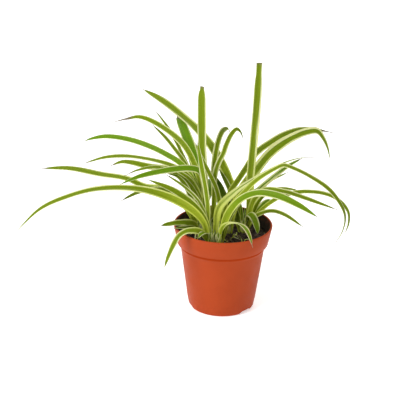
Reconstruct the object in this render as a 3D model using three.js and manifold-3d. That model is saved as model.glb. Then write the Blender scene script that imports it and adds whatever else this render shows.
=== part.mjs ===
// A young variegated spider plant in a 4 inch plastic nursery pot.
// Millimetres, +Z up. The origin is the centre of the pot's flat base, and -Y is the side seen first.
// The pot holds a plug of soil, six crowns stand in plain holes in the soil, and each strap-shaped
// leaf arches out beside its crown as a thin keeled blade of its own.
import * as THREE from 'three';
import { mergeVertices } from 'three/addons/utils/BufferGeometryUtils.js';
import Module from 'manifold-3d';

const wasm = await Module();
wasm.setup();

// Pot
const POT_HEIGHT = 91;
const LIP_RADIUS = 51;
const BAND_FOOT_RADIUS = 47.2;
const BAND_HEIGHT = 20;
const STEP_DROP = 4.5;
const BODY_TOP_RADIUS = 43.7;
const BASE_RADIUS = 34.5;
const BASE_ROUNDING = 3;
const WALL = 1.4;
const LIP_WALL = 2;
const FLOOR = 5;
const POT_SIDES = 64;

// Three drainage notches in the edge of the base, each with a slot up through the floor
const NOTCH_AZIMUTHS = [-42, 78, 198];
const NOTCH_WIDTH = 14;
const NOTCH_HEIGHT = 3.4;
const NOTCH_DEPTH = 7;
const SLOT_WIDTH = 8;
const SLOT_DEPTH = 3;

// Soil plug
const SOIL_LEVEL = 77;
const SOIL_SIDES = 48;
const CLEARANCE = 0.3;

// Crowns: a short rootstock with three young leaves, in a hole in the soil. Heights are from the soil.
const CROWN_RADIUS = 2.4;
const CROWN_TOP = 5;
const CROWN_FOOT = -16;
const YOUNG_LEAF_LENGTH = 22;
const YOUNG_LEAF_WIDTH = 2.6;

// Leaves: folded narrow at the root, opening to full width and tapering to a fine or a blunt tip
const BLADE_THICKNESS = 0.7;
const BLADE_COLUMNS = 2;
const BLADE_STEPS = 13;
const ROOT_WIDTH_SHARE = 0.36;
const FULL_WIDTH_AT = 0.3;
const UNROLLS_FROM = 0.12;
const UNROLLED_AT = 0.55;
const TIP_WIDTH = 1.3;
const BLUNT_TIP_WIDTH = 4.6;
const KEEL = 0.28;
const FOOT = 0.85;

// A leaf leaves its crown on one compass heading, in degrees from +X. The higher its taper, the longer
// it keeps its width. Its rolls turn the upper face to the right of that heading, at the root and at
// the tip. Its arch lists [reach, height] points along the midrib, from the crown's axis and the soil.
const leaf = (heading, width, taper, rolls, ...arch) => ({
  heading, width, taper, rolls, arch, tipWidth: TIP_WIDTH,
});
const bluntLeaf = (...values) => ({ ...leaf(...values), tipWidth: BLUNT_TIP_WIDTH });

const CROWNS = {
  front_left: {
    at: [-12, -24],
    leaves: [
      leaf(190, 8.5, 5, [-88, -22], [5.2, FOOT], [7, 22], [17, 37], [42, 53.5], [74, 64], [114, 66],
        [145, 59], [170, 48], [195, 25]),
      leaf(175, 8, 4, [-88, -60], [5.2, FOOT], [6.4, 24], [18, 42], [38, 57], [66, 68]),
      leaf(154, 4, 8, [-88, -25], [5.2, FOOT], [6.4, 28], [15, 45], [31, 57], [53, 67]),
      leaf(124, 8, 8, [-88, -80], [5.6, FOOT], [5.8, 21], [6, 38], [10, 54], [20, 81], [28, 104]),
      leaf(212, 7.5, 8, [-75, -10], [6, FOOT], [10, 12], [16, 18], [24, 20.5], [32, 20.5], [39, 17.5],
        [45, 10], [52, -1.5], [58, -13]),
      leaf(238, 6.5, 8, [-88, 0], [6.4, FOOT], [8, 10], [11, 16], [16, 18.5], [22, 18], [25, 16]),
      leaf(30, 10, 1.1, [88, 5], [5.2, FOOT], [5.2, 26], [6, 33], [9, 40.5], [16, 46.5], [33, 56.5],
        [48, 63], [66, 70], [85, 75], [104, 77], [122, 75]),
    ],
  },
  front_right: {
    at: [-4, -24],
    leaves: [
      leaf(8, 4.6, 4, [88, 30], [5.2, FOOT], [9, 26], [20, 45], [31, 56.5], [42, 63.5]),
      leaf(337, 8, 8, [88, 45], [5.2, FOOT], [5.2, 20], [7.5, 31], [13, 42.5], [22, 53.5], [32, 60.5],
        [43, 64.5], [53, 65], [64, 64], [84, 58], [103, 49.5]),
      leaf(303, 9, 4, [88, -10], [5.2, FOOT], [6, 18], [12, 25.5], [20, 30.5], [30, 34.5], [40, 36],
        [48, 34], [54, 29], [60, 20]),
      leaf(354, 5.5, 12, [88, 25], [5.2, FOOT], [5.2, 20], [6, 33], [11, 43], [19, 53], [35, 72],
        [54, 86], [62, 90], [70, 88], [88, 80], [109, 66], [123, 46], [125, 35], [123, 22], [119, 11]),
    ],
  },
  middle: {
    at: [4, 6],
    leaves: [
      leaf(165, 5, 8, [-88, -60], [5.2, FOOT], [7, 26], [12, 48], [22, 68], [32, 87], [35, 96]),
      leaf(28, 11, 4, [88, 75], [5.2, FOOT], [7, 28], [14, 45], [29, 62], [46, 80], [64, 91], [77, 96],
        [92, 99], [105, 98], [113, 89], [119, 78], [124, 62]),
      leaf(100, 8, 4, [-88, 0], [5.2, FOOT], [11, 18], [30, 31], [54, 28], [76, 10]),
      leaf(50, 8, 3, [88, 65], [-5.2, FOOT], [-5.2, 24], [-3.5, 37], [2, 47], [13, 54.5], [27, 64.5],
        [44, 77], [69, 83], [91, 86], [120, 85], [151, 77.5], [170, 71], [192, 63]),
    ],
  },
  back: {
    at: [-14, 14],
    leaves: [
      leaf(202, 7.5, 6, [-88, -50], [5.2, FOOT], [5.6, 26], [6.4, 44], [8.6, 58], [13, 67.5], [24, 71.5],
        [51, 72], [78, 69], [98, 63]),
      leaf(188, 7, 4, [-88, -25], [5.4, FOOT], [11, 30], [26, 56], [53, 71], [75, 69], [89, 63]),
      leaf(176, 8, 6, [-88, -50], [5.2, FOOT], [10, 32], [22, 54], [42, 64.5], [65, 68], [83, 71.5],
        [92, 71.5], [105, 66]),
      leaf(167, 6, 12, [-88, -20], [7.4, FOOT], [11, 27], [17, 49], [28, 61.5], [43, 68], [70, 72],
        [92, 72.5], [113, 69], [137, 60]),
      leaf(155, 6, 12, [-88, -50], [5.2, FOOT], [11, 38], [31, 66], [53, 76], [76, 82], [100, 84.5],
        [124, 83], [143, 77], [151, 73]),
      leaf(140, 7, 4, [-88, -60], [5.4, FOOT], [9, 40], [21, 67], [36, 85], [66, 98], [98, 102],
        [120, 95], [142, 86]),
      leaf(134, 5, 8, [-88, -20], [8, FOOT], [14, 32], [37, 62], [55, 75], [70, 84], [91, 93]),
      leaf(127, 4, 6, [-88, -20], [9.8, FOOT], [18, 30], [45, 64], [73, 89], [89, 98], [104, 105]),
      leaf(110, 12, 12, [-88, -10], [8.4, FOOT], [13, 22], [32, 44], [63, 69], [101, 89], [113, 93]),
      bluntLeaf(122, 9.5, 40, [-88, -60], [5.2, FOOT], [7, 40], [13, 66], [16, 84], [18, 112], [19, 138],
        [19, 151]),
      leaf(34, 6, 8, [88, 60], [5.2, FOOT], [4.8, 36], [5, 60], [10, 74], [15, 82], [19, 92], [25, 102],
        [31, 106], [36, 102], [40, 93]),
      leaf(72, 7, 8, [88, 45], [5.6, FOOT], [8, 40], [11, 72], [20, 89], [33, 97], [46, 97], [59, 93],
        [64, 87]),
      leaf(92, 9, 4, [-88, 0], [5.2, FOOT], [13, 24], [34, 38], [60, 34], [85, 16]),
    ],
  },
  left: {
    at: [-24, 4],
    leaves: [
      leaf(172, 7, 12, [-88, -30], [5.2, FOOT], [12, 25], [35, 46], [58, 48], [76, 55], [104, 58],
        [138, 62], [167, 60]),
      leaf(206, 8, 6, [-88, -20], [5.2, FOOT], [14, 35], [36, 53], [57, 57], [70, 56], [88, 50]),
      leaf(222, 8.5, 6, [-88, -25], [5.2, FOOT], [10, 12], [17, 16], [32, 20], [53, 23]),
      leaf(236, 4, 4, [-88, -60], [5.2, FOOT], [13, 11], [24, 15], [36, 19], [47, 22]),
      leaf(186, 7, 4, [-88, -65], [6.2, FOOT], [8, 34], [15, 53], [24, 64], [34, 67]),
    ],
  },
  right: {
    at: [22, 10],
    leaves: [
      leaf(134, 9, 12, [-88, -25], [5.2, FOOT], [10, 33], [25, 56], [48, 79], [71, 93], [93, 102],
        [125, 112], [161, 118.5]),
      bluntLeaf(26, 8.5, 40, [88, 75], [5.2, FOOT], [5.2, 40], [5.2, 60], [6, 73], [7.5, 97], [9, 120],
        [10, 144], [11, 181]),
      leaf(358, 4.4, 12, [88, 50], [5.2, FOOT], [14, 22], [34, 40], [54, 47], [67, 48], [79, 47],
        [91, 43], [101, 35.5], [107, 26], [109, 14], [107, 2]),
      leaf(10, 5, 8, [88, 20], [5.2, FOOT], [11.5, 28], [20, 40], [36, 47], [52, 45], [61, 41]),
      leaf(44, 6, 6, [88, 70], [5.2, FOOT], [5.2, 18], [5.4, 30], [9, 37], [40, 51], [66, 59], [87, 62]),
      leaf(58, 5, 8, [88, 0], [5.6, FOOT], [12, 26], [23, 35.5], [35, 39.5], [48, 41], [76, 39.5],
        [92, 39]),
      leaf(346, 6, 6, [88, 35], [5.2, FOOT], [9, 36], [20, 49.5], [40, 50.5], [62, 46], [83, 40.5],
        [96, 37]),
      leaf(328, 5, 6, [88, 40], [5.2, FOOT], [11, 18], [21, 27], [34, 32], [48, 31], [69, 23]),
      leaf(50, 7, 8, [88, 50], [8.4, FOOT], [13, 11], [21, 16], [28, 20], [36, 23], [47, 23]),
      leaf(298, 8, 8, [88, 20], [5.5, FOOT], [6, 18], [10, 23.5], [16, 24.5], [23, 21], [28, 15],
        [30, 9]),
      leaf(160, 8, 8, [-88, -80], [5.2, FOOT], [10, 20], [21, 35], [32, 57]),
      leaf(112, 6, 4, [-88, -40], [5.2, FOOT], [9, 20], [22, 28], [40, 26]),
      leaf(148, 6, 6, [-88, -70], [7.4, FOOT], [13, 30], [20, 47], [33, 65]),
    ],
  },
};

const POT_MATERIAL = new THREE.MeshStandardMaterial({ color: 0xc65a32, roughness: 0.5, metalness: 0 });
const SOIL_MATERIAL = new THREE.MeshStandardMaterial({ color: 0x2b1c14, roughness: 0.95, metalness: 0 });
const CROWN_MATERIAL = new THREE.MeshStandardMaterial({ color: 0xa9bd5a, roughness: 0.5, metalness: 0 });
const LEAF_MATERIAL = new THREE.MeshStandardMaterial({ color: 0x86a83a, roughness: 0.45, metalness: 0 });

const part = new THREE.Group();

function place(name, geometry, material) {
  const mesh = new THREE.Mesh(geometry, material);
  mesh.name = name;
  part.add(mesh);
}

// Booleans: a closed geometry to a solid and back
function toSolid(geometry) {
  const bare = geometry.clone();
  bare.deleteAttribute('normal');
  bare.deleteAttribute('uv');
  const merged = mergeVertices(bare, 1e-4);
  const vertProperties = new Float32Array(merged.attributes.position.array);
  const triVerts = new Uint32Array(merged.index.array);
  return new wasm.Manifold(new wasm.Mesh({ numProp: 3, vertProperties, triVerts }));
}

function toGeometry(solid) {
  const mesh = solid.getMesh();
  const geometry = new THREE.BufferGeometry();
  geometry.setAttribute('position', new THREE.BufferAttribute(mesh.vertProperties, 3));
  geometry.setIndex(new THREE.BufferAttribute(mesh.triVerts, 1));
  geometry.computeVertexNormals();
  return geometry;
}

// A turned solid: the outline is [radius, height] points from the axis round to the axis
function turned(outline, sides) {
  const points = outline.map(([radius, height]) => new THREE.Vector2(radius, height));
  return new THREE.LatheGeometry(points, sides).rotateX(Math.PI / 2);
}

// Pot shell: base, tapering body, step, flared band and rounded lip, all with a thin wall
const bandFoot = POT_HEIGHT - BAND_HEIGHT;
const bodyTop = bandFoot - STEP_DROP;
const bodySlope = (BODY_TOP_RADIUS - BASE_RADIUS) / bodyTop;
const bodyInside = (height) => BASE_RADIUS + bodySlope * height - WALL;
const bandInside = (height) => {
  const share = (height - bandFoot) / BAND_HEIGHT;
  return THREE.MathUtils.lerp(BAND_FOOT_RADIUS - WALL, LIP_RADIUS - LIP_WALL, share);
};

function potShell() {
  const outline = [[0, 0], [BASE_RADIUS - BASE_ROUNDING, 0]];
  for (const turn of [30, 60, 90]) {
    const angle = THREE.MathUtils.degToRad(turn);
    const radius = BASE_RADIUS - BASE_ROUNDING * (1 - Math.sin(angle));
    outline.push([radius, BASE_ROUNDING * (1 - Math.cos(angle))]);
  }
  outline.push([BODY_TOP_RADIUS, bodyTop], [BAND_FOOT_RADIUS, bandFoot]);
  const lipMiddle = LIP_RADIUS - LIP_WALL / 2;
  for (const turn of [0, 45, 90, 135, 180]) {
    const angle = THREE.MathUtils.degToRad(turn);
    const height = POT_HEIGHT - LIP_WALL / 2 + (LIP_WALL / 2) * Math.sin(angle);
    outline.push([lipMiddle + (LIP_WALL / 2) * Math.cos(angle), height]);
  }
  outline.push([BAND_FOOT_RADIUS - WALL, bandFoot], [BODY_TOP_RADIUS - WALL, bodyTop]);
  outline.push([bodyInside(FLOOR), FLOOR], [0, FLOOR]);
  return toSolid(turned(outline, POT_SIDES));
}

// Cutter for one notch: a low round-cornered recess in the base's edge and a slot above it
function notchCutter(azimuth) {
  const half = NOTCH_WIDTH / 2;
  const shoulder = NOTCH_HEIGHT;
  const side = new THREE.Shape();
  side.moveTo(-half - shoulder, -1);
  side.lineTo(-half - shoulder, 0);
  side.quadraticCurveTo(-half, 0, -half + shoulder / 2, NOTCH_HEIGHT);
  side.lineTo(half - shoulder / 2, NOTCH_HEIGHT);
  side.quadraticCurveTo(half, 0, half + shoulder, 0);
  side.lineTo(half + shoulder, -1);
  side.closePath();
  const sweep = { depth: NOTCH_DEPTH + 5, bevelEnabled: false, curveSegments: 5 };
  const recess = new THREE.ExtrudeGeometry(side, sweep);
  recess.rotateX(Math.PI / 2).rotateZ(Math.PI / 2).translate(BASE_RADIUS - NOTCH_DEPTH, 0, 0);
  const slot = new THREE.BoxGeometry(SLOT_DEPTH, SLOT_WIDTH, 2 * FLOOR);
  slot.translate(BASE_RADIUS - NOTCH_DEPTH + SLOT_DEPTH, 0, FLOOR);
  const turn = THREE.MathUtils.degToRad(azimuth);
  return toSolid(recess.rotateZ(turn)).add(toSolid(slot.rotateZ(turn)));
}

const pot = NOTCH_AZIMUTHS.reduce((shell, azimuth) => shell.subtract(notchCutter(azimuth)), potShell());
place('pot', toGeometry(pot), POT_MATERIAL);

// Soil: fills the pot to below the lip, with a plain hole for each crown
function crownBody(at, radius, foot, top) {
  const shoulder = radius * 0.55;
  const outline = [
    [0, foot], [radius * 0.6, foot], [radius, foot + 4], [radius, top - 3], [shoulder, top], [0, top],
  ];
  return turned(outline, 12).translate(at[0], at[1], SOIL_LEVEL);
}

const soilOutline = [
  [0, FLOOR + CLEARANCE],
  [bodyInside(FLOOR) - CLEARANCE, FLOOR + CLEARANCE],
  [bodyInside(bodyTop) - CLEARANCE, bodyTop + CLEARANCE],
  [bandInside(bandFoot) - CLEARANCE, bandFoot + CLEARANCE],
  [bandInside(SOIL_LEVEL) - CLEARANCE, SOIL_LEVEL],
  [0, SOIL_LEVEL],
];
let soil = toSolid(turned(soilOutline, SOIL_SIDES));
for (const { at } of Object.values(CROWNS)) {
  soil = soil.subtract(toSolid(crownBody(at, CROWN_RADIUS + CLEARANCE, CROWN_FOOT - CLEARANCE, CROWN_TOP)));
}
place('soil', toGeometry(soil), SOIL_MATERIAL);

// One strap-shaped blade, closed all round: a sheet of cells thickened along its own normal, so both
// faces are split into triangles alike. It is keeled along the midrib and narrows to root and tip.
function blade(at, shape, columns = BLADE_COLUMNS, steps = BLADE_STEPS) {
  const { heading, width, taper, rolls, arch, tipWidth } = shape;
  const turn = THREE.MathUtils.degToRad(heading);
  const outward = new THREE.Vector3(Math.cos(turn), Math.sin(turn), 0);
  const level = new THREE.Vector3(-Math.sin(turn), Math.cos(turn), 0);
  const axis = new THREE.Vector3(at[0], at[1], 0);
  const midrib = new THREE.CatmullRomCurve3(arch.map(([reach, height]) => {
    return outward.clone().multiplyScalar(reach).add(axis).setZ(SOIL_LEVEL + height);
  }));
  const row = columns + 1;
  const count = row * (steps + 1);
  const position = new Float32Array(count * 6);
  for (let step = 0; step <= steps; step += 1) {
    const along = step / steps;
    const centre = midrib.getPointAt(along);
    const up = midrib.getTangentAt(along).cross(level).normalize();
    const unrolled = THREE.MathUtils.smoothstep(along, UNROLLS_FROM, UNROLLED_AT);
    const roll = THREE.MathUtils.degToRad(THREE.MathUtils.lerp(rolls[0], rolls[1], unrolled));
    const across = level.clone().multiplyScalar(Math.cos(roll)).addScaledVector(up, Math.sin(roll));
    const normal = up.multiplyScalar(Math.cos(roll)).addScaledVector(level, -Math.sin(roll));
    const opened = THREE.MathUtils.smoothstep(along, 0, FULL_WIDTH_AT);
    const opening = THREE.MathUtils.lerp(ROOT_WIDTH_SHARE, 1, opened);
    const half = Math.max(width * opening * (1 - along ** taper), tipWidth) / 2;
    for (let column = 0; column <= columns; column += 1) {
      const side = (2 * column) / columns - 1;
      const lift = KEEL * half * Math.abs(side);
      const point = centre.clone().addScaledVector(across, side * half).addScaledVector(normal, lift);
      const index = step * row + column;
      point.addScaledVector(normal, BLADE_THICKNESS / 2).toArray(position, index * 3);
      point.addScaledVector(normal, -BLADE_THICKNESS).toArray(position, (count + index) * 3);
    }
  }
  const triangles = [];
  const quad = (a, b, c, d) => triangles.push(a, b, c, a, c, d);
  for (let step = 0; step < steps; step += 1) {
    for (let column = 0; column < columns; column += 1) {
      const a = step * row + column;
      const corners = [a, a + row, a + row + 1, a + 1];
      const [p, q, r, s] = corners.map((corner) => corner + count);
      quad(...corners);
      triangles.push(p, r, q, p, s, r);
    }
    const left = step * row;
    const right = left + columns;
    quad(left, left + count, left + row + count, left + row);
    quad(right, right + row, right + row + count, right + count);
  }
  for (let column = 0; column < columns; column += 1) {
    const root = column;
    const tip = steps * row + column;
    quad(root, root + 1, root + 1 + count, root + count);
    quad(tip, tip + count, tip + 1 + count, tip + 1);
  }
  const geometry = new THREE.BufferGeometry();
  geometry.setAttribute('position', new THREE.BufferAttribute(position, 3));
  geometry.setIndex(triangles);
  geometry.computeVertexNormals();
  return geometry;
}

// A crown: the rootstock with three young leaves sunk in it and fused
function crown(at, firstHeading) {
  let solid = toSolid(crownBody(at, CROWN_RADIUS, CROWN_FOOT, CROWN_TOP));
  for (const [turn, share] of [[0, 1], [125, 0.8], [235, 0.62]]) {
    const top = CROWN_TOP + YOUNG_LEAF_LENGTH * share;
    const arch = [[0.4, CROWN_TOP - 8], [0.7, CROWN_TOP + 4], [1.2, top]];
    const young = leaf(firstHeading + turn, YOUNG_LEAF_WIDTH, 3, [0, 0], ...arch);
    solid = solid.add(toSolid(blade(at, young, BLADE_COLUMNS, 4)));
  }
  return toGeometry(solid);
}

for (const [name, { at, leaves }] of Object.entries(CROWNS)) {
  place(`${name}_crown`, crown(at, leaves[0].heading), CROWN_MATERIAL);
  leaves.forEach((entry, index) => {
    place(`${name}_leaf_${index + 1}`, blade(at, entry), LEAF_MATERIAL);
  });
}

export default part;
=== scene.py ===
import math
import random

import bmesh
import bpy
from mathutils import Matrix, Vector, geometry, noise


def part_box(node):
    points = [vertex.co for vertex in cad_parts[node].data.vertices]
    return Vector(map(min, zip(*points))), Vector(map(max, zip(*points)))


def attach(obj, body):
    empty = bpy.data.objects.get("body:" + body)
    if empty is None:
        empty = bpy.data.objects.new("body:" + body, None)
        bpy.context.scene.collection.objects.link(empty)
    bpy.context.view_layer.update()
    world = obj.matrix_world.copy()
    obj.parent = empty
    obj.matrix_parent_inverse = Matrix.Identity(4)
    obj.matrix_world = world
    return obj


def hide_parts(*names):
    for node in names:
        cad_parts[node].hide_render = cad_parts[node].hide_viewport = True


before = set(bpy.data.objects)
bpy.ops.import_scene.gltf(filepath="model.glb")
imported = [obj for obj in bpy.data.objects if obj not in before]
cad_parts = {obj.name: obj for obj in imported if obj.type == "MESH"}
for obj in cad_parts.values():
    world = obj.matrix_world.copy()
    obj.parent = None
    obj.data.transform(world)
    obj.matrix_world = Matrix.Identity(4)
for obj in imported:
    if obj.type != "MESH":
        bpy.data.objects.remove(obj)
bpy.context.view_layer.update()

# Pot
# A thin-walled nursery pot, injection moulded in terracotta-coloured polypropylene. It is one shell:
# a tapering body, a step, and a flared band that stiffens the lip. Its foot has three drainage notches.
POT_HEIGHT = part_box("pot")[1].z
LIP_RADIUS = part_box("pot")[1].x
LIP_WALL = 0.002
WALL = 0.0014
FLOOR = 0.005
BAND_HEIGHT = 0.020
BAND_FOOT_RADIUS = 0.0472
STEP_DROP = 0.0045
BODY_TOP_RADIUS = 0.0437
BASE_RADIUS = 0.0345
BASE_ROUNDING = 0.003
LOW_TAPER = ((0.0106, 0.0015), (0.020, 0.0027))
FLOOR_WIDENING = 0.0008
BAND_FOOT = POT_HEIGHT - BAND_HEIGHT
BODY_TOP = BAND_FOOT - STEP_DROP
POT_STEPS = 160
NOTCH_AZIMUTHS = (-42, 78, 198)
NOTCH_WIDTH = 0.014
NOTCH_HEIGHT = 0.0034
NOTCH_DEPTH = 0.007
NOTCH_OVERSHOOT = 0.005
SLOT = Vector((0.003, 0.008, 0.012))
TERRACOTTA = (0.400, 0.057, 0.014, 1)
TERRACOTTA_DEEP = (0.330, 0.045, 0.011, 1)
TERRACOTTA_DUSTY = (0.430, 0.068, 0.019, 1)
# Painted shade for the crease under the band
TERRACOTTA_SHADED = (0.300, 0.030, 0.004, 1)
# The inside is the outside's plastic, darkened partly by soil stains and partly as painted shade. The second
# colour is deeper still, for crumbs and for the painted shade low down.
INSIDE_WALL_STAINED_AND_SHADED = (0.085, 0.022, 0.012, 1)
INSIDE_DIRT_AND_DEEPER_SHADE = (0.022, 0.010, 0.007, 1)


def new_piece(name, mesh, materials):
    """Links a mesh that is already in place, gives it its materials and lets it ride with the pot"""
    piece = bpy.data.objects.new(name, mesh)
    bpy.context.scene.collection.objects.link(piece)
    for material in materials:
        mesh.materials.append(material)
    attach(piece, "root")
    return piece


def to_mesh(bm, name, smooth=True):
    mesh = bpy.data.meshes.new(name)
    for face in bm.faces:
        face.smooth = smooth
    bm.to_mesh(mesh)
    bm.free()
    return mesh


def arc(centre, radius, first, last, steps):
    """Points (radius, height) along part of a circle, between two angles in degrees"""
    angles = [math.radians(first + (last - first) * step / steps) for step in range(steps + 1)]
    return [(centre[0] + radius * math.cos(a), centre[1] + radius * math.sin(a)) for a in angles]


def spin_outline(outline, steps):
    """A closed solid turned about Z from an outline that runs from the axis round to the axis"""
    bm = bmesh.new()
    corners = [bm.verts.new((radius, 0, height)) for radius, height in outline]
    edges = [bm.edges.new(pair) for pair in zip(corners, corners[1:])]
    bmesh.ops.spin(bm, geom=corners + edges, axis=(0, 0, 1), cent=(0, 0, 0), steps=steps,
                   angle=math.tau, use_merge=True)
    bmesh.ops.remove_doubles(bm, verts=bm.verts, dist=1e-6)
    bmesh.ops.recalc_face_normals(bm, faces=bm.faces)
    return bm


def pot_outline():
    """From the middle of the base up the outside, over the lip and down the inside to its floor.
    LOW_TAPER holds heights low on the body, each with how much wider than the base it is there."""
    foot = arc((BASE_RADIUS - BASE_ROUNDING, BASE_ROUNDING), BASE_ROUNDING, -90, 0, 6)
    body = [(BASE_RADIUS + wider, height) for height, wider in LOW_TAPER]
    body += [(BODY_TOP_RADIUS - 0.0004, BODY_TOP - 0.002), (BODY_TOP_RADIUS, BODY_TOP),
             (BODY_TOP_RADIUS + 0.0006, BODY_TOP + 0.0010)]
    band = [(BAND_FOOT_RADIUS - 0.0012, BAND_FOOT - 0.0006), (BAND_FOOT_RADIUS - 0.0003, BAND_FOOT - 0.0001),
            (BAND_FOOT_RADIUS, BAND_FOOT + 0.0005)]
    lip = arc((LIP_RADIUS - LIP_WALL / 2, POT_HEIGHT - LIP_WALL / 2), LIP_WALL / 2, 0, 180, 8)
    inside = [(BAND_FOOT_RADIUS - WALL, BAND_FOOT), (BODY_TOP_RADIUS - WALL, BODY_TOP),
              (BASE_RADIUS - WALL + FLOOR_WIDENING, FLOOR)]
    return [(0, 0), (BASE_RADIUS * 0.5, 0), *foot, *body, *band, *lip, *inside, (0, FLOOR)]


def notch_cutter(azimuth):
    """A low, round-shouldered recess across the foot, and the slot that drains into it"""
    half = NOTCH_WIDTH / 2
    shoulder = NOTCH_HEIGHT
    rise = geometry.interpolate_bezier(
        (-half - shoulder, 0, 0), (-half - shoulder / 3, 0, 0),
        (-half - shoulder / 6, 0, shoulder), (-half + shoulder, 0, shoulder), 9)
    side = [Vector((-half - shoulder, 0, -0.001))] + [Vector(point) for point in rise]
    side += [Vector((-point.x, 0, point.z)) for point in reversed(side)]
    bm = bmesh.new()
    face = bm.faces.new([bm.verts.new((BASE_RADIUS - NOTCH_DEPTH, point.x, point.z)) for point in side])
    pushed = bmesh.ops.extrude_face_region(bm, geom=[face])["geom"]
    moved = [item for item in pushed if isinstance(item, bmesh.types.BMVert)]
    bmesh.ops.translate(bm, verts=moved, vec=(NOTCH_DEPTH + NOTCH_OVERSHOOT, 0, 0))
    bmesh.ops.recalc_face_normals(bm, faces=bm.faces)
    slot_middle = Matrix.Translation((BASE_RADIUS - NOTCH_DEPTH + SLOT.x, 0, SLOT.z / 2))
    bmesh.ops.create_cube(bm, size=1, matrix=slot_middle @ Matrix.Diagonal((*SLOT, 1)))
    turn = Matrix.Rotation(math.radians(azimuth), 3, "Z")
    bmesh.ops.rotate(bm, verts=bm.verts, cent=(0, 0, 0), matrix=turn)
    return to_mesh(bm, "notch", smooth=False)


def cut(piece, cutter_meshes):
    """Cuts meshes out of a piece and keeps the result as its own mesh"""
    cutters = [bpy.data.objects.new("cutter", mesh) for mesh in cutter_meshes]
    for cutter in cutters:
        bpy.context.scene.collection.objects.link(cutter)
        difference = piece.modifiers.new("cut", "BOOLEAN")
        difference.operation = "DIFFERENCE"
        difference.solver = "EXACT"
        difference.use_self = True
        difference.object = cutter
    bpy.context.view_layer.update()
    result = bpy.data.meshes.new_from_object(piece.evaluated_get(bpy.context.evaluated_depsgraph_get()))
    piece.modifiers.clear()
    piece.data = result
    for cutter in cutters:
        bpy.data.objects.remove(cutter)


def node(tree, kind, inputs=(), **settings):
    """Adds a shader node of a kind; an input takes a number, a colour or another node's output"""
    made = tree.nodes.new("ShaderNode" + kind)
    for name, value in settings.items():
        setattr(made, name, value)
    for socket, value in dict(inputs).items():
        if isinstance(value, bpy.types.NodeSocket):
            tree.links.new(value, made.inputs[socket])
        else:
            made.inputs[socket].default_value = value
    return made


def calc(tree, operation, *values):
    return node(tree, "Math", dict(enumerate(values)), operation=operation).outputs[0]


def ramp(tree, value, low, high, start=0.0, end=1.0):
    """value eased from start to end as it goes from low to high"""
    inputs = {"Value": value, "From Min": low, "From Max": high, "To Min": start, "To Max": end}
    return node(tree, "MapRange", inputs, interpolation_type="SMOOTHSTEP").outputs[0]


def mixed(tree, share, first, second):
    made = node(tree, "Mix", {0: share, 6: first, 7: second}, data_type="RGBA")
    return made.outputs[2]


def grain(tree, where, scale, detail=4.0, roughness=0.55):
    inputs = {"Vector": where, "Scale": scale, "Detail": detail, "Roughness": roughness}
    return node(tree, "TexNoise", inputs).outputs[0]


def object_place(tree):
    """The point of the piece that is being coloured, and its height"""
    place = node(tree, "TexCoord").outputs["Object"]
    return place, node(tree, "SeparateXYZ", {0: place}).outputs["Z"]


def relief(tree, height, strength, depth):
    inputs = {"Strength": strength, "Distance": depth, "Height": height}
    return node(tree, "Bump", inputs).outputs[0]


def coat(tree, colour, roughness, bumps, shine=0.5):
    """A surface of one colour, dull where roughness is high, with its fine relief"""
    inputs = {"Base Color": colour, "Roughness": roughness, "Specular IOR Level": shine, "Normal": bumps}
    return node(tree, "BsdfPrincipled", inputs).outputs[0]


def new_material(name):
    material = bpy.data.materials.new(name)
    material.use_nodes = True
    tree = material.node_tree
    tree.nodes.clear()
    return material, tree


def finish_material(tree, surface):
    node(tree, "OutputMaterial", {"Surface": surface})


def moulded_plastic():
    """Satin terracotta plastic: faint flow mottling, a dustier band and lip, painted shade in the crease
    under the band with its shine taken out, and scuffs near the foot"""
    material, tree = new_material("moulded_terracotta")
    place, height = object_place(tree)
    flow = grain(tree, place, 26.0)
    speck = grain(tree, place, 900.0, 2.0)
    colour = mixed(tree, ramp(tree, flow, 0.35, 0.7, 0.0, 0.5), TERRACOTTA, TERRACOTTA_DEEP)
    dusty = calc(tree, "MULTIPLY", ramp(tree, height, BAND_FOOT - 0.001, BAND_FOOT + 0.004),
                 ramp(tree, grain(tree, place, 60.0), 0.3, 0.75, 0.1, 0.35))
    colour = mixed(tree, dusty, colour, TERRACOTTA_DUSTY)
    # Painted shade: the crease under the band is darkened where the band's overhang shades it
    crease = calc(tree, "MULTIPLY", ramp(tree, height, BODY_TOP, BAND_FOOT - 0.001, 0.0, 0.85),
                  ramp(tree, height, BAND_FOOT + 0.0004, BAND_FOOT - 0.0002))
    colour = mixed(tree, crease, colour, TERRACOTTA_SHADED)
    foot = calc(tree, "MULTIPLY", ramp(tree, height, 0.016, 0.002),
                ramp(tree, grain(tree, place, 140.0), 0.45, 0.7, 0.0, 0.7))
    colour = mixed(tree, foot, colour, TERRACOTTA_DEEP)
    bumps = relief(tree, calc(tree, "ADD", speck, flow), 0.18, 0.0004)
    gloss = ramp(tree, grain(tree, place, 90.0), 0.3, 0.7, 0.38, 0.52)
    # The shine is taken out where the crease's painted shade is, so no reflection lightens it
    shine = ramp(tree, crease, 0.0, 0.3, 0.06, 0.0)
    finish_material(tree, coat(tree, colour, gloss, bumps, shine))
    return material


def stained_and_shaded_inside():
    """The inner wall: the same plastic, darkened partly by soil stains and partly as painted shade, with
    crumbs of the potting mix in patches and painted shade growing deeper below the lip
    """
    material, tree = new_material("pot_inside")
    place, height = object_place(tree)
    # Crumb patches, plus painted shade that deepens below the lip
    stain_and_shade = calc(tree, "ADD", ramp(tree, grain(tree, place, 220.0), 0.42, 0.62),
                 ramp(tree, height, POT_HEIGHT - 0.002, POT_HEIGHT - 0.012))
    colour = mixed(tree, calc(tree, "MINIMUM", stain_and_shade, 1.0), INSIDE_WALL_STAINED_AND_SHADED, INSIDE_DIRT_AND_DEEPER_SHADE)
    bumps = relief(tree, grain(tree, place, 500.0), 0.4, 0.0006)
    finish_material(tree, coat(tree, colour, 0.7, bumps))
    return material


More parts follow.
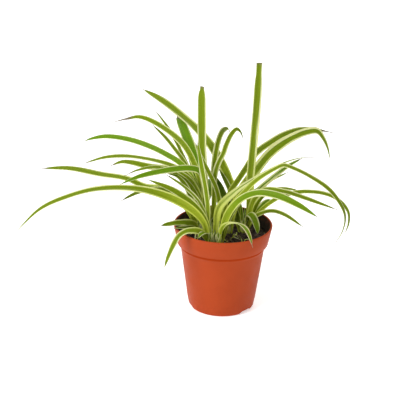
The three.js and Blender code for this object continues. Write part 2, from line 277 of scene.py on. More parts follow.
pot_mesh = to_mesh(spin_outline(pot_outline(), POT_STEPS), "nursery_pot")
pot = new_piece("nursery_pot", pot_mesh, [moulded_plastic(), stained_and_shaded_inside()])
cut(pot, [notch_cutter(azimuth) for azimuth in NOTCH_AZIMUTHS])
for face in pot.data.polygons:
    facing_in = face.normal.x * face.center.x + face.normal.y * face.center.y < 0
    under_lip = face.center.z < POT_HEIGHT - LIP_WALL * 0.4
    face.material_index = 1 if facing_in and under_lip and face.center.z > FLOOR else 0
pot.data.set_sharp_from_angle(angle=math.radians(35))
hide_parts("pot")

# Potting mix
# A plug of dark peat and bark that has shrunk a little from the wall. Its top is crumbly, with loose
# crumbs, slivers of bark and a few grains of perlite pressed into it.
SOIL_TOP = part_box("soil")[1].z
SOIL_GAP = 0.0003
SOIL_STEPS = 180
SOIL_RINGS = 56
SOIL_RELIEF = 0.0016
CRUMB_COUNT = 620
BARK_COUNT = 90
PERLITE_COUNT = 26
SCATTER_RADIUS = LIP_RADIUS - 0.006
PRESSED_IN = 0.25
DENTS = 0.18
PEAT = (0.020, 0.012, 0.008, 1)
PEAT_LIGHT = (0.075, 0.045, 0.028, 1)
BARK = (0.13, 0.065, 0.032, 1)
PERLITE = (0.55, 0.53, 0.47, 1)


def soil_height(x, y):
    """Height of the potting mix at a place: broad lumps, with fine crumbs over them"""
    spot = Vector((x, y, 0))
    lumps = noise.fractal(spot * 90, 0.9, 2.1, 4)
    crumbs = abs(noise.noise(spot * 420)) + 0.5 * abs(noise.noise(spot * 900))
    return SOIL_TOP + SOIL_RELIEF * (0.55 * lumps + 0.75 * crumbs - 0.2)


def soil_body():
    """The plug, a small gap inside the wall. The wall leans out from the band's foot to the lip."""
    lean = (LIP_RADIUS - LIP_WALL - BAND_FOOT_RADIUS + WALL) * (SOIL_TOP - BAND_FOOT) / BAND_HEIGHT
    rim = BAND_FOOT_RADIUS - WALL + lean - SOIL_GAP
    outline = [(0, FLOOR + SOIL_GAP), (BASE_RADIUS - WALL, FLOOR + SOIL_GAP),
               (BODY_TOP_RADIUS - WALL - SOIL_GAP, BODY_TOP),
               (BAND_FOOT_RADIUS - WALL - SOIL_GAP, BAND_FOOT + SOIL_GAP)]
    outline += [(rim * (1 - ring / SOIL_RINGS), SOIL_TOP) for ring in range(SOIL_RINGS + 1)]
    bm = spin_outline(outline, SOIL_STEPS)
    for vert in bm.verts:
        if vert.co.z > SOIL_TOP - 1e-5:
            vert.co.z = soil_height(vert.co.x, vert.co.y)
    return to_mesh(bm, "potting_mix")


def scattered(name, count, size, flatness, seed):
    """Small rough grains lying on the soil, each a dented ball of twenty faces"""
    draw = random.Random(seed)
    bm = bmesh.new()
    for _ in range(count):
        radius = SCATTER_RADIUS * math.sqrt(draw.random())
        angle = draw.uniform(0, math.tau)
        x, y = radius * math.cos(angle), radius * math.sin(angle)
        grain_size = size * draw.uniform(0.45, 1.0)
        scale = Matrix.Diagonal((grain_size, grain_size * draw.uniform(0.35, 0.8), grain_size * flatness, 1))
        turn = Matrix.Rotation(draw.uniform(0, math.tau), 4, "Z")
        turn = turn @ Matrix.Rotation(draw.uniform(-0.5, 0.5), 4, "X")
        centre = Matrix.Translation((x, y, soil_height(x, y) + grain_size * flatness * PRESSED_IN))
        made = bmesh.ops.create_icosphere(bm, subdivisions=1, radius=1, matrix=centre @ turn @ scale)
        for vert in made["verts"]:
            vert.co += Vector([draw.uniform(-DENTS, DENTS) * grain_size for _ in range(3)])
    return to_mesh(bm, name, smooth=False)


def crumbly(name, dark, light, scale, depth):
    """Dull and rough all over, in patches of two colours"""
    material, tree = new_material(name)
    place = node(tree, "TexCoord").outputs["Object"]
    patches = grain(tree, place, scale, 8.0, 0.7)
    colour = mixed(tree, ramp(tree, patches, 0.35, 0.72), dark, light)
    bumps = relief(tree, grain(tree, place, scale * 4, 6.0), 0.8, depth)
    finish_material(tree, coat(tree, colour, 0.92, bumps))
    return material


peat = crumbly("peat", PEAT, PEAT_LIGHT, 700.0, 0.0008)
bark = crumbly("bark", PEAT_LIGHT, BARK, 400.0, 0.0004)
perlite = crumbly("perlite", PEAT_LIGHT, PERLITE, 300.0, 0.0002)
soil = new_piece("potting_mix", soil_body(), [peat])
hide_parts("soil")
crumbs = scattered("soil_crumbs", CRUMB_COUNT, size=0.0019, flatness=0.6, seed=11)
new_piece("soil_crumbs", crumbs, [peat])
slivers = scattered("bark_slivers", BARK_COUNT, size=0.0040, flatness=0.22, seed=12)
new_piece("bark_slivers", slivers, [bark])
grains = scattered("perlite_grains", PERLITE_COUNT, size=0.0014, flatness=0.7, seed=13)
new_piece("perlite_grains", grains, [perlite])

# Crowns
# Each crown is a short rootstock in the soil. Four short, pale sheaths of its oldest leaves clasp it,
# and three young leaves are still folded in its heart. Crown and leaf sizes are in millimetres.
MM = 0.001
SOIL_LEVEL = SOIL_TOP / MM
CROWN_RADIUS = 2.4
CROWN_TOP = 5
CROWN_FOOT = -16
YOUNG_LEAF_LENGTH = 22
YOUNG_LEAF_WIDTH = 3.2
YOUNG_LEAF_FOLD = 50
YOUNG_LEAVES = ((0, 1.0), (125, 0.8), (235, 0.62))
SHEATH_WIDTH = 8.5
SHEATH_TURNS = (255, 325, 75, 165)
ROOT_DEPTH = 5
ROOT_REACH = 2.2
ROOT_GATHER = 2.4
GATHERED_BELOW = 26
BLADE_ACROSS = 12
BLADE_ALONG = 84
BLADE_THICKNESS = 0.42
EDGE_THINNING = 0.6
ROOT_WIDTH_SHARE = 0.55
FULL_WIDTH_AT = 0.24
UNROLLS_FROM = 0.12
UNROLLED_AT = 0.55
ROOT_FOLD = 42
BLADE_FOLD = 16
MIDRIB_SOFTNESS = 0.012
MIDRIB_DEPTH = 0.11
FOLD_SHARE = 0.85
BLADE_SWING = 5
SWING_RATE = 9
EDGE_WAVE = 0.05
EDGE_WAVE_RATE = 24
EDGE_WAVE_SKEW = 2.2
TIP_WIDTH = 0.7
DRY_WIDTH_SHARE = 0.65
FOOT = 0.85
LEAF_GREEN = (0.215, 0.305, 0.004, 1)
LEAF_BRIGHT = (0.170, 0.340, 0.005, 1)
LEAF_DARK = (0.085, 0.155, 0.006, 1)
LEAF_HEART = (0.520, 0.610, 0.040, 1)
LEAF_CREAM = (0.700, 0.770, 0.110, 1)
LEAF_IVORY = (0.860, 0.870, 0.480, 1)
LEAF_DRY = (0.270, 0.215, 0.130, 1)
LEAF_PINK = (0.780, 0.430, 0.300, 1)
LEAF_SHINE = 0.15
LIGHT_THROUGH_LEAF = 0.36
UNDERSIDE_PALER = 0.22
VEIN_RATE = 92.0


def leaf(heading, width, taper, rolls, *arch, tip=TIP_WIDTH, margins=(0.15, 0.15), shade=0.5,
         dry=0.03, pink=0.0, fold=ROOT_FOLD):
    """One leaf as it grows: its compass heading in degrees, its width, how long it keeps that width,
    the rolls of its face at root and tip, and its arch of (reach, height) points in millimetres from
    the crown's axis and the soil. margins are the cream shares of the width on the heading's right
    and left, shade runs from 0, dark, to 1, bright, dry is the withered share at the tip, pink is
    how far the margins blush, and fold is how far each half folds up at the root, in degrees. shade is
    partly the leaf's own tone, partly painted shade, low on leaves that lie under others, and partly
    painted light, high on hidden leaves in shadow."""
    return {
        "heading": heading, "width": width, "taper": taper, "rolls": rolls, "arch": arch, "tip": tip,
        "margins": margins, "shade": shade, "dry": dry, "pink": pink, "fold": fold,
    }


def smoothstep(value, low, high):
    share = min(max((value - low) / (high - low), 0), 1)
    return share * share * (3 - 2 * share)


def mix(first, second, share):
    return first + (second - first) * share


def rounded_line(points, steps=16):
    """The smooth line through the points, as a dense row of points"""
    ends = [points[0] * 2 - points[1], *points, points[-1] * 2 - points[-2]]
    line = [points[0]]
    for before, start, end, after in zip(ends, ends[1:], ends[2:], ends[3:]):
        steps_taken = ((before, start), (start, end), (end, after))
        first, span, last = [math.sqrt((b - a).length) for a, b in steps_taken]
        leaving = (start - before) / first - (end - before) / (first + span) + (end - start) / span
        arriving = (end - start) / span - (after - start) / (span + last) + (after - end) / last
        handles = (start + leaving * span / 3, end - arriving * span / 3)
        line += geometry.interpolate_bezier(start, *handles, end, steps + 1)[1:]
    return line


def stations(line, count):
    """count + 1 (point, direction) pairs, evenly spaced along a dense line, and its length"""
    lengths = [0.0]
    for first, second in zip(line, line[1:]):
        lengths.append(lengths[-1] + (second - first).length)
    found = []
    index = 0
    for station in range(count + 1):
        distance = lengths[-1] * station / count
        while index < len(line) - 2 and lengths[index + 1] < distance:
            index += 1
        step = line[index + 1] - line[index]
        share = (distance - lengths[index]) / max(step.length, 1e-9)
        found.append((line[index] + step * share, step.normalized()))
    return found, lengths[-1]


def blade_rows(at, entry, along_count):
    """The midrib's stations with the two directions of the blade's face, its half width and its fold,
    and the phase of its waves. Low down the leaves of a crown draw together round its axis."""
    turn = math.radians(entry["heading"])
    outward = Vector((math.cos(turn), math.sin(turn), 0))
    level = Vector((-math.sin(turn), math.cos(turn), 0))
    arch = []
    for reach, height in entry["arch"]:
        pull = min(ROOT_GATHER * max(1 - height / GATHERED_BELOW, 0), abs(reach) / 2)
        arch.append((reach - math.copysign(pull, reach), height))
    root_reach = math.copysign(min(ROOT_REACH, abs(arch[0][0])), arch[0][0])
    arch.insert(0, (root_reach, arch[0][1] - ROOT_DEPTH))
    axis = Vector((at[0], at[1], 0))
    midrib = [(axis + outward * reach + Vector((0, 0, SOIL_LEVEL + height))) * MM for reach, height in arch]
    buried = (midrib[1] - midrib[0]).length
    pairs, length = stations(rounded_line(midrib), along_count)
    draw = random.Random(f"{at} {entry['heading']} {entry['width']}")
    phase, swing = draw.uniform(0, math.tau), draw.uniform(0.5, 1.2)
    rows = []
    for index, (centre, along_line) in enumerate(pairs):
        along = (length * index / along_count - buried) / (length - buried)
        grown = max(along, 0)
        up = along_line.cross(level).normalized()
        roll = mix(*entry["rolls"], smoothstep(along, UNROLLS_FROM, UNROLLED_AT))
        roll += BLADE_SWING * swing * math.sin(SWING_RATE * grown + phase) * smoothstep(along, 0.3, 0.7)
        roll = math.radians(roll)
        across = level * math.cos(roll) + up * math.sin(roll)
        normal = up * math.cos(roll) - level * math.sin(roll)
        opening = mix(ROOT_WIDTH_SHARE, 1, smoothstep(along, 0, FULL_WIDTH_AT))
        half = max(entry["width"] * opening * (1 - grown ** entry["taper"]), entry["tip"]) / 2 * MM
        if entry["tip"] == TIP_WIDTH:
            withering = smoothstep(along, 1 - entry["dry"], 1 - entry["dry"] * 0.6)
            half *= mix(1, DRY_WIDTH_SHARE, withering)
        fold = math.radians(mix(entry["fold"], BLADE_FOLD, smoothstep(along, 0, 0.4)))
        rows.append((centre, across, normal, half, fold, along))
    return rows, phase


def blade_into(bm, at, entry, across_count=BLADE_ACROSS, along_count=BLADE_ALONG):
    """Adds one blade's sheet to bm: a grid laid along the midrib, folded there and waved at its edges"""
    rows, phase = blade_rows(at, entry, along_count)
    grid = bmesh.ops.create_grid(bm, x_segments=across_count, y_segments=along_count, size=1)
    traits = bm.verts.layers.float_vector["margins"]
    looks = bm.verts.layers.float_vector["looks"]
    body = bm.verts.layers.deform.active
    uv = bm.loops.layers.uv["UVMap"]
    places = {}
    for vert in grid["verts"]:
        side = -vert.co.x
        centre, across, normal, half, fold, along = rows[round((vert.co.y + 1) / 2 * along_count)]
        crease = math.sqrt(side * side + MIDRIB_SOFTNESS) - MIDRIB_DEPTH
        wave = EDGE_WAVE * math.sin(EDGE_WAVE_RATE * along + phase + EDGE_WAVE_SKEW * side)
        wave = wave * side * side * smoothstep(along, 0.15, 0.5)
        spread = half * side * math.cos(fold * (1 - 0.4 * abs(side))) / math.cos(math.radians(BLADE_FOLD))
        lift = math.tan(fold) * crease * FOLD_SHARE + wave
        vert.co = centre + across * spread + normal * half * lift
        vert[traits] = (*entry["margins"], phase)
        vert[looks] = (entry["shade"], entry["dry"], entry["pink"])
        vert[body][0] = 1 - EDGE_THINNING * side ** 4
        places[vert] = ((side + 1) / 2, along)
    for face in {face for vert in grid["verts"] for face in vert.link_faces}:
        for loop in face.loops:
            loop[uv].uv = places[loop.vert]


def new_blades():
    """An empty sheet whose points can carry a leaf's margins, its looks and its place across and along"""
    bm = bmesh.new()
    bm.verts.layers.float_vector.new("margins")
    bm.verts.layers.float_vector.new("looks")
    bm.verts.layers.deform.new()
    bm.loops.layers.uv.new("UVMap")
    return bm


def thicken(piece, thickness=BLADE_THICKNESS):
    """Gives a sheet of blades its thickness, thinner toward the edges"""
    body = piece.vertex_groups.new(name="body")
    shell = piece.modifiers.new("thickness", "SOLIDIFY")
    shell.thickness = thickness * MM
    shell.offset = 0
    shell.vertex_group = body.name
    shell.thickness_vertex_group = 1 - EDGE_THINNING
    shell.material_offset = 1
    shell.material_offset_rim = 0


def carried(tree, name):
    """The three values that the points of a blade carry under a name"""
    values = node(tree, "Attribute", attribute_name=name).outputs["Vector"]
    return node(tree, "SeparateXYZ", {0: values}).outputs


def leaf_skin(name, underside):
    """Living leaf: green centre, cream margins with streaks along the veins, pale at the root and
    withered at the very tip. The underside is paler and duller."""
    material, tree = new_material(name)
    place = node(tree, "SeparateXYZ", {0: node(tree, "TexCoord").outputs["UV"]})
    across, along = place.outputs["X"], place.outputs["Y"]
    right, left, seed = carried(tree, "margins")
    shade, dry, pink = carried(tree, "looks")

    def streaks(width_scale, length_scale, shift):
        where = node(tree, "CombineXYZ", {
            0: calc(tree, "MULTIPLY", across, width_scale),
            1: calc(tree, "MULTIPLY", along, length_scale),
            2: calc(tree, "ADD", seed, shift)}).outputs[0]
        return grain(tree, where, 1.0, 2.0)

    broad = streaks(7.0, 3.0, 0.0)
    fine = streaks(46.0, 5.0, 4.0)
    wander = ramp(tree, broad, 0.25, 0.75, 0.55, 1.45)
    narrowing = ramp(tree, along, 0.55, 1.0, 1.0, 0.35)
    reach = calc(tree, "MULTIPLY", wander, narrowing)
    from_right = calc(tree, "SUBTRACT", across, calc(tree, "MULTIPLY", right, reach))
    back_across = calc(tree, "SUBTRACT", 1.0, across)
    from_left = calc(tree, "SUBTRACT", back_across, calc(tree, "MULTIPLY", left, reach))
    inside = calc(tree, "MINIMUM", from_right, from_left)
    inside = calc(tree, "ADD", inside, ramp(tree, fine, 0.3, 0.7, -0.03, 0.03))
    green_share = ramp(tree, inside, -0.03, 0.09)

    # shade sets the green from dark to bright: partly the leaf's own tone, partly painted shade and painted
    # light
    green = mixed(tree, ramp(tree, shade, 0.0, 0.5), LEAF_DARK, LEAF_GREEN)
    green = mixed(tree, ramp(tree, shade, 0.5, 1.0), green, LEAF_BRIGHT)
    # The pale root is the leaf's own colour. It is kept strong on all but the darkest leaves, as painted
    # light on bases that lie in shadow.
    heart = calc(tree, "MULTIPLY", ramp(tree, along, 0.46, 0.0, 0.0, 0.95),
                 ramp(tree, shade, 0.0, 0.4, 0.25, 1.0))
    green = mixed(tree, heart, green, LEAF_HEART)
    lines = calc(tree, "MULTIPLY", ramp(tree, fine, 0.42, 0.72), ramp(tree, along, 0.0, 0.9, 0.5, 0.12))
    green = mixed(tree, lines, green, LEAF_HEART)
    cream = mixed(tree, ramp(tree, along, 0.12, 0.6), LEAF_CREAM, LEAF_IVORY)
    colour = mixed(tree, green_share, cream, green)
    blush = calc(tree, "MULTIPLY", pink, calc(tree, "SUBTRACT", 1.0, green_share))
    blush = calc(tree, "MULTIPLY", blush, ramp(tree, along, 0.5, 0.95))
    colour = mixed(tree, blush, colour, LEAF_PINK)
    if underside:
        colour = mixed(tree, UNDERSIDE_PALER, colour, LEAF_CREAM)
    withered = mixed(tree, pink, LEAF_DRY, LEAF_PINK)
    tip = calc(tree, "ADD", along, ramp(tree, broad, 0.2, 0.8, -0.02, 0.02))
    tip = calc(tree, "SUBTRACT", tip, calc(tree, "SUBTRACT", 1.0, dry))
    colour = mixed(tree, ramp(tree, tip, -0.015, 0.02), colour, withered)

    veins = calc(tree, "SINE", calc(tree, "MULTIPLY", across, VEIN_RATE))
    groove = ramp(tree, calc(tree, "ABSOLUTE", calc(tree, "SUBTRACT", across, 0.5)), 0.0, 0.05)
    height = calc(tree, "ADD", calc(tree, "MULTIPLY", veins, 0.25), calc(tree, "ADD", fine, groove))
    bumps = relief(tree, height, 0.35, 0.00025)
    gloss = ramp(tree, broad, 0.3, 0.7, 0.5, 0.62) if underside else ramp(tree, broad, 0.3, 0.7, 0.40, 0.52)
    skin = coat(tree, colour, gloss, bumps, LEAF_SHINE)
    glow = node(tree, "BsdfTranslucent", {"Color": colour, "Normal": bumps}).outputs[0]
    surface = node(tree, "MixShader", {0: LIGHT_THROUGH_LEAF, 1: skin, 2: glow})
    finish_material(tree, surface.outputs[0])
    return material


def pale_sheath():
    """Waxy, cream-green and fibrous, browned where it stands in the soil"""
    material, tree = new_material("pale_sheath")
    place, height = object_place(tree)
    stretched = node(tree, "Mapping", {"Vector": place, "Scale": (2600, 2600, 120)}).outputs[0]
    fibres = grain(tree, stretched, 1.0, 2.0)
    colour = mixed(tree, ramp(tree, fibres, 0.35, 0.7), LEAF_HEART, LEAF_CREAM)
    soiled = calc(tree, "MULTIPLY", ramp(tree, height, SOIL_TOP + 0.0035, SOIL_TOP - 0.0005),
                  ramp(tree, fibres, 0.3, 0.6, 0.5, 1.0))
    colour = mixed(tree, soiled, colour, LEAF_DRY)
    finish_material(tree, coat(tree, colour, 0.5, relief(tree, fibres, 0.4, 0.0003)))
    return material


CROWNS = {
    "front_left": (-12, -24),
    "front_right": (-4, -24),
    "middle": (4, 6),
    "back": (-14, 14),
    "left": (-24, 4),
    "right": (22, 10),
}
leaf_top = leaf_skin("leaf_top", underside=False)
leaf_under = leaf_skin("leaf_under", underside=True)
sheath = pale_sheath()


def rootstock(at):
    """The buried stem, closing to a blunt shoulder above the soil"""
    outline = [(0, CROWN_FOOT), (CROWN_RADIUS * 0.6, CROWN_FOOT), (CROWN_RADIUS, CROWN_FOOT + 4),
               (CROWN_RADIUS, CROWN_TOP - 4), (CROWN_RADIUS * 0.9, CROWN_TOP - 2),
               (CROWN_RADIUS * 0.6, CROWN_TOP - 0.4), (0, CROWN_TOP)]
    bm = spin_outline([(radius * MM, height * MM) for radius, height in outline], 28)
    bmesh.ops.translate(bm, verts=bm.verts, vec=(at[0] * MM, at[1] * MM, SOIL_TOP))
    return bm


for crown_name, at in CROWNS.items():
    stem = new_piece(f"crown_{crown_name}", to_mesh(rootstock(at), "rootstock"), [sheath])
    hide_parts(f"{crown_name}_crown")
    hearts = new_blades()
    for turn, share in YOUNG_LEAVES:
        top = CROWN_TOP + YOUNG_LEAF_LENGTH * share
        arch = ((0.5, CROWN_TOP - 3), (1.0, CROWN_TOP + 6), (1.9, top))
        young = leaf(turn + 20 * at[0], YOUNG_LEAF_WIDTH, 3, (0, 0), *arch, margins=(0.2, 0.2),
                     shade=0.9, fold=YOUNG_LEAF_FOLD)
        blade_into(hearts, at, young, across_count=6, along_count=20)
    for turn in SHEATH_TURNS:
        clasping = leaf(turn, SHEATH_WIDTH, 4, (0, 0), (2.8, -3), (4.2, 4), (5.6, 16),
                        margins=(0.46, 0.46), shade=0.9)
        blade_into(hearts, at, clasping, across_count=8, along_count=16)
    hearts = to_mesh(hearts, "young_leaves")
    folded = new_piece(f"young_leaves_{crown_name}", hearts, [leaf_top, leaf_under])
    thicken(folded)

# Leaves
# Each leaf is one strap-shaped blade beside its crown. It rises folded along the midrib, opens, and
# arches over to a fine tip, except for two that stand nearly upright and end bluntly.
LEAVES = {
    "front_left": [
        leaf(190, 8.5, 5, (-88, -22), (5.2, FOOT), (7, 22), (17, 37), (42, 53.5), (74, 64), (114, 66),
             (145, 59), (170, 48), (195, 25), margins=(0.14, 0.12), shade=0.5, dry=0.02),
        leaf(175, 8, 4, (-88, -60), (5.2, FOOT), (6.4, 24), (18, 42), (38, 57), (66, 68),
             margins=(0.1, 0.08)),
        leaf(154, 4, 8, (-88, -25), (5.2, FOOT), (6.4, 28), (15, 45), (31, 57), (53, 67),
             margins=(0.16, 0.12), shade=0.5, dry=0.06),
        leaf(124, 8, 8, (-88, -80), (5.6, FOOT), (5.8, 21), (6, 38), (10, 54), (20, 81), (28, 104),
             margins=(0.16, 0.14), shade=0.6),
        leaf(212, 7.5, 8, (-75, -10), (6, FOOT), (10, 12), (16, 18), (24, 20.5), (32, 20.5), (39, 17.5),
             (45, 10), (52, -1.5), (58, -13), margins=(0.12, 0.16), shade=0.6, dry=0.01, pink=0.2),
        leaf(238, 6.5, 8, (-88, 0), (6.4, FOOT), (8, 10), (11, 16), (16, 18.5), (22, 18), (25, 16),
             margins=(0.16, 0.18), shade=0.75, dry=0.02),
        leaf(30, 10, 1.1, (88, 5), (5.2, FOOT), (5.2, 26), (6, 33), (9, 40.5), (16, 46.5), (33, 56.5),
             (48, 63), (66, 70), (85, 75), (104, 77), (122, 75), margins=(0.4, 0.34), shade=0.75, dry=0.08),
    ],
    "front_right": [
        leaf(8, 4.6, 4, (88, 30), (5.2, FOOT), (9, 26), (20, 45), (31, 56.5), (42, 63.5),
             margins=(0.2, 0.2), shade=0.7),
        leaf(337, 8, 8, (88, 45), (5.2, FOOT), (5.2, 20), (7.5, 31), (13, 42.5), (22, 53.5), (32, 60.5),
             (43, 64.5), (53, 65), (64, 64), (84, 58), (103, 49.5), margins=(0.12, 0.07), shade=0.8,
             dry=0.02),
        leaf(303, 9, 4, (88, -10), (5.2, FOOT), (6, 18), (12, 25.5), (20, 30.5), (30, 34.5), (40, 36),
             (48, 34), (54, 29), (60, 20), margins=(0.16, 0.22), shade=0.75, dry=0.06, pink=0.35),
        leaf(354, 5.5, 12, (88, 25), (5.2, FOOT), (5.2, 20), (6, 33), (11, 43), (19, 53), (35, 72),
             (54, 86), (62, 90), (70, 88), (88, 80), (109, 66), (123, 46), (125, 35), (123, 22), (119, 11),
             margins=(0.13, 0.15), shade=0.5, dry=0.02),
    ],
    "middle": [
        leaf(165, 5, 8, (-88, -60), (5.2, FOOT), (7, 26), (12, 48), (22, 68), (32, 87), (35, 96),
             margins=(0.14, 0.12), shade=0.5),
        leaf(28, 11, 4, (88, 75), (5.2, FOOT), (7, 28), (14, 45), (29, 62), (46, 80), (64, 91), (77, 96),
             (92, 99), (105, 98), (113, 89), (119, 78), (124, 62), margins=(0.18, 0.28), shade=0.6,
             dry=0.02),
        # Painted light: a hidden leaf given a high shade so it shows bright though it lies in shadow
        leaf(100, 8, 4, (-88, 0), (5.2, FOOT), (11, 18), (30, 31), (54, 28), (76, 10), shade=0.9),
        leaf(50, 8, 3, (88, 65), (-5.2, FOOT), (-5.2, 24), (-3.5, 37), (2, 47), (13, 54.5), (27, 64.5),
             (44, 77), (69, 83), (91, 86), (120, 85), (151, 77.5), (170, 71), (192, 63),
             margins=(0.12, 0.14), shade=0.5, dry=0.13),
    ],
    "back": [
        leaf(202, 7.5, 6, (-88, -50), (5.2, FOOT), (5.6, 26), (6.4, 44), (8.6, 58), (13, 67.5), (24, 71.5),
             (51, 72), (78, 69), (98, 63), margins=(0.06, 0.12), shade=0.95, dry=0.02),
        leaf(188, 7, 4, (-88, -25), (5.4, FOOT), (11, 30), (26, 56), (53, 71), (75, 69), (89, 63),
             margins=(0.1, 0.1), shade=0.45, dry=0.08),
        leaf(176, 8, 6, (-88, -50), (5.2, FOOT), (10, 32), (22, 54), (42, 64.5), (65, 68), (83, 71.5),
             (92, 71.5), (105, 66), margins=(0.1, 0.12), shade=0.45, dry=0.05),
        leaf(167, 6, 12, (-88, -20), (7.4, FOOT), (11, 27), (17, 49), (28, 61.5), (43, 68), (70, 72),
             (92, 72.5), (113, 69), (137, 60), margins=(0.12, 0.14)),
        leaf(155, 6, 12, (-88, -50), (5.2, FOOT), (11, 38), (31, 66), (53, 76), (76, 82), (100, 84.5),
             (124, 83), (143, 77), (151, 73), margins=(0.05, 0.05), shade=0.9, dry=0.02),
        leaf(140, 7, 4, (-88, -60), (5.4, FOOT), (9, 40), (21, 67), (36, 85), (66, 98), (98, 102),
             (120, 95), (142, 86), margins=(0.1, 0.08), shade=0.45, dry=0.16),
        leaf(134, 5, 8, (-88, -20), (8, FOOT), (14, 32), (37, 62), (55, 75), (70, 84), (91, 93),
             margins=(0.16, 0.16), shade=0.4),
        leaf(127, 4, 6, (-88, -20), (9.8, FOOT), (18, 30), (45, 64), (73, 89), (89, 98), (104, 105),
             margins=(0.12, 0.12), shade=0.4, dry=0.06),
        leaf(110, 12, 12, (-88, -10), (8.4, FOOT), (13, 22), (32, 44), (63, 69), (101, 89), (113, 93),
             margins=(0.08, 0.05), shade=1.0, dry=0.07),
        leaf(122, 9.5, 32, (-88, -60), (5.2, FOOT), (7, 40), (13, 66), (16, 84), (18, 112), (19, 138),
             (19, 151), tip=4.6, margins=(0.2, 0.08), dry=0.012),
        leaf(34, 6, 8, (88, 60), (5.2, FOOT), (4.8, 36), (5, 60), (10, 74), (15, 82), (19, 92), (25, 102),
             (31, 106), (36, 102), (40, 93), margins=(0.14, 0.18)),
        leaf(72, 7, 8, (88, 45), (5.6, FOOT), (8, 40), (11, 72), (20, 89), (33, 97), (46, 97), (59, 93),
             (64, 87), margins=(0.2, 0.2)),
        # Painted light: a hidden leaf given a high shade so it shows bright though it lies in shadow
        leaf(92, 9, 4, (-88, 0), (5.2, FOOT), (13, 24), (34, 38), (60, 34), (85, 16), shade=0.9),
    ],
    "left": [
        leaf(172, 7, 12, (-88, -30), (5.2, FOOT), (12, 25), (35, 46), (58, 48), (76, 55), (104, 58),
             (138, 62), (167, 60), margins=(0.12, 0.12), shade=0.45),
        leaf(206, 8, 6, (-88, -20), (5.2, FOOT), (14, 35), (36, 53), (57, 57), (70, 56), (88, 50),
             margins=(0.1, 0.1), shade=0.5, dry=0.05),
        leaf(222, 8.5, 6, (-88, -25), (5.2, FOOT), (10, 12), (17, 16), (32, 20), (53, 23),
             margins=(0.12, 0.1), shade=0.6, dry=0.06),
        leaf(236, 4, 4, (-88, -60), (5.2, FOOT), (13, 11), (24, 15), (36, 19), (47, 22),
             margins=(0.16, 0.16), shade=0.3),
        leaf(186, 7, 4, (-88, -65), (6.2, FOOT), (8, 34), (15, 53), (24, 64), (34, 67),
             margins=(0.16, 0.14), shade=0.4),
    ],
    "right": [
        leaf(134, 9, 12, (-88, -25), (5.2, FOOT), (10, 33), (25, 56), (48, 79), (71, 93), (93, 102),
             (125, 112), (161, 118.5), margins=(0.14, 0.12), shade=0.5, dry=0.02),
        leaf(26, 8.5, 18, (88, 75), (5.2, FOOT), (5.2, 40), (5.2, 60), (6, 73), (7.5, 97), (9, 120),
             (10, 144), (11, 181), tip=6.0, margins=(0.24, 0.08), dry=0.006),
        leaf(358, 4.4, 12, (88, 50), (5.2, FOOT), (14, 22), (34, 40), (54, 47), (67, 48), (79, 47),
             (91, 43), (101, 35.5), (107, 26), (109, 14), (107, 2), margins=(0.12, 0.14), shade=0.45,
             dry=0.02),
        leaf(10, 5, 8, (88, 20), (5.2, FOOT), (11.5, 28), (20, 40), (36, 47), (52, 45), (61, 41),
             margins=(0.12, 0.18), dry=0.06),
        leaf(44, 6, 6, (88, 70), (5.2, FOOT), (5.2, 18), (5.4, 30), (9, 37), (40, 51), (66, 59), (87, 62),
             margins=(0.36, 0.32), shade=0.9, dry=0.06),
        leaf(58, 5, 8, (88, 0), (5.6, FOOT), (12, 26), (23, 35.5), (35, 39.5), (48, 41), (76, 39.5),
             (92, 39), margins=(0.3, 0.26), shade=0.8, dry=0.05),
        leaf(346, 6, 6, (88, 35), (5.2, FOOT), (9, 36), (20, 49.5), (40, 50.5), (62, 46), (83, 40.5),
             (96, 37), margins=(0.1, 0.14), shade=0.5, dry=0.04),
        leaf(328, 5, 6, (88, 40), (5.2, FOOT), (11, 18), (21, 27), (34, 32), (48, 31), (69, 23),
             margins=(0.14, 0.18), shade=0.6),
        leaf(50, 7, 8, (88, 50), (8.4, FOOT), (13, 11), (21, 16), (28, 20), (36, 23), (47, 23), shade=0.8),
        leaf(298, 8, 8, (88, 20), (5.5, FOOT), (6, 18), (10, 23.5), (16, 24.5), (23, 21), (28, 15), (30, 9),
             margins=(0.12, 0.12), shade=0.75, dry=0.02),
        # Painted shade: this leaf lies under others, and its shade near 0 paints that
        leaf(160, 8, 8, (-88, -80), (5.2, FOOT), (10, 20), (21, 35), (32, 57), margins=(0.06, 0.06),
             shade=0.05, dry=0.01),
        # Painted light: a hidden leaf given a high shade so it shows bright though it lies in shadow
        leaf(112, 6, 4, (-88, -40), (5.2, FOOT), (9, 20), (22, 28), (40, 26), shade=0.9),
        leaf(148, 6, 6, (-88, -70), (7.4, FOOT), (13, 30), (20, 47), (33, 65), margins=(0.14, 0.14),
             shade=0.25),
    ],
}

for crown_name, entries in LEAVES.items():
    for number, entry in enumerate(entries, 1):
        sheet = new_blades()
        blade_into(sheet, CROWNS[crown_name], entry)
        sheet = to_mesh(sheet, "leaf")
        blade = new_piece(f"leaf_{crown_name}_{number}", sheet, [leaf_top, leaf_under])
        thicken(blade)
        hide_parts(f"{crown_name}_leaf_{number}")

# Rootlets
# Pale, half-dry rootlets and shreds of old sheath that lie on the front of the potting mix. Each is a
# thin strap that leaves the soil, bends over and goes back down to it. Sizes are in millimetres.
ROOTLET_COUNT = 70
ROOTLET_FIELD = ((-30, 34), (-36, 2))
ROOTLET_SPANS = (7, 17)
ROOTLET_RISES = (1.5, 5)
ROOTLET_WIDTHS = (0.6, 1.1)
ROOTLET_TIP_WIDTH = 0.4
ROOTLET_THICKNESS = 0.35
ROOTLET_WITHERED = (0.1, 0.3, 0.7)
CLEAR_OF_LIP = 9

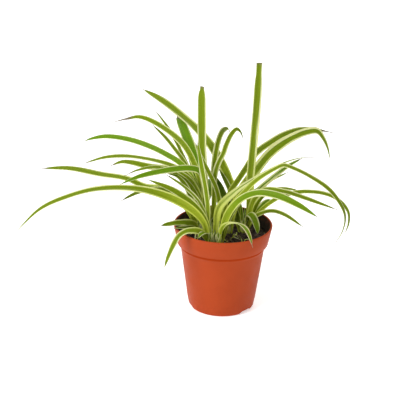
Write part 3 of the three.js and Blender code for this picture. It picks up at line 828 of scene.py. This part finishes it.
draw = random.Random(21)
straps = new_blades()
for _ in range(ROOTLET_COUNT):
    spot = [draw.uniform(*side) for side in ROOTLET_FIELD]
    span = draw.uniform(*ROOTLET_SPANS)
    rise = draw.uniform(*ROOTLET_RISES)
    arch = ((0.3, 0), (span * 0.25, rise), (span * 0.6, rise * 0.9), (span, -0.5))
    heading = draw.uniform(0, 360)
    width = draw.uniform(*ROOTLET_WIDTHS)
    withered = draw.choice(ROOTLET_WITHERED)
    strap = leaf(heading, width, 6, (0, 0), *arch, tip=ROOTLET_TIP_WIDTH, margins=(0.7, 0.7),
                 shade=0.8, dry=withered)
    if math.hypot(*spot) < LIP_RADIUS / MM - CLEAR_OF_LIP - span:
        blade_into(straps, spot, strap, across_count=4, along_count=16)
rootlets = new_piece("rootlets", to_mesh(straps, "rootlets"), [leaf_top, leaf_under])
thicken(rootlets, ROOTLET_THICKNESS)

# Floor, light and camera
# A plain white studio floor with a broad key light from the upper left, a faint fill from the right
# and a light from behind, and the camera a little above the rim, looking down on the pot.
CAMERA_ELEVATION = math.radians(22.2)
CAMERA_ROLL = math.radians(1.2)
CAMERA_DISTANCE = 1.2
CAMERA_AIM = Vector((-0.0164, 0, 0.1082))
FOCAL_PIXELS = 1170
IMAGE_PIXELS = 415
SENSOR_WIDTH = 36
FLOOR_SIZE = 12
FLOOR_WHITE = (0.93, 0.93, 0.93, 1)
FLOOR_GLOW = 0.5
SURROUND_WHITE = (1, 1, 1, 1)
SURROUND_LIGHT = 0.5


def studio_floor():
    bm = bmesh.new()
    bmesh.ops.create_grid(bm, x_segments=1, y_segments=1, size=FLOOR_SIZE)
    floor = bpy.data.objects.new("floor", to_mesh(bm, "floor", smooth=False))
    bpy.context.scene.collection.objects.link(floor)
    material, tree = new_material("pale_floor")
    surface = node(tree, "BsdfPrincipled", {
        "Base Color": FLOOR_WHITE, "Roughness": 0.9,
        "Emission Color": SURROUND_WHITE, "Emission Strength": FLOOR_GLOW})
    finish_material(tree, surface.outputs[0])
    floor.data.materials.append(material)


def soft_light(name, place, aim, size, power):
    """A round white panel light, size across, turned to face its aim"""
    light = bpy.data.lights.new(name, "AREA")
    light.shape = "DISK"
    light.size = size
    light.energy = power
    lamp = bpy.data.objects.new(name, light)
    facing = (Vector(aim) - Vector(place)).to_track_quat("-Z", "Y").to_matrix().to_4x4()
    lamp.matrix_world = Matrix.Translation(place) @ facing
    bpy.context.scene.collection.objects.link(lamp)


studio_floor()
soft_light("key", (-1.1, -1.0, 1.5), aim=(0, 0, 0.1), size=1.0, power=30)
soft_light("fill", (1.4, -1.2, 0.9), aim=(0, 0, 0.1), size=1.4, power=0.3)
soft_light("back", (0.2, 1.6, 1.6), aim=(0, 0, 0.15), size=1.2, power=14)

world = bpy.data.worlds.new("studio")
world.use_nodes = True
surround = world.node_tree.nodes["Background"]
surround.inputs["Color"].default_value = SURROUND_WHITE
surround.inputs["Strength"].default_value = SURROUND_LIGHT
bpy.context.scene.world = world
bpy.context.scene.view_settings.view_transform = "Standard"

camera = bpy.data.objects.new("camera", bpy.data.cameras.new("camera"))
camera.data.sensor_width = SENSOR_WIDTH
camera.data.lens = SENSOR_WIDTH * FOCAL_PIXELS / IMAGE_PIXELS
backward = Vector((0, -math.cos(CAMERA_ELEVATION), math.sin(CAMERA_ELEVATION)))
camera.matrix_world = (
    Matrix.Translation(CAMERA_AIM + backward * CAMERA_DISTANCE)
    @ Matrix.Rotation(math.pi / 2 - CAMERA_ELEVATION, 4, "X")
    @ Matrix.Rotation(CAMERA_ROLL, 4, "Z")
)
bpy.context.scene.collection.objects.link(camera)
bpy.context.scene.camera = camera
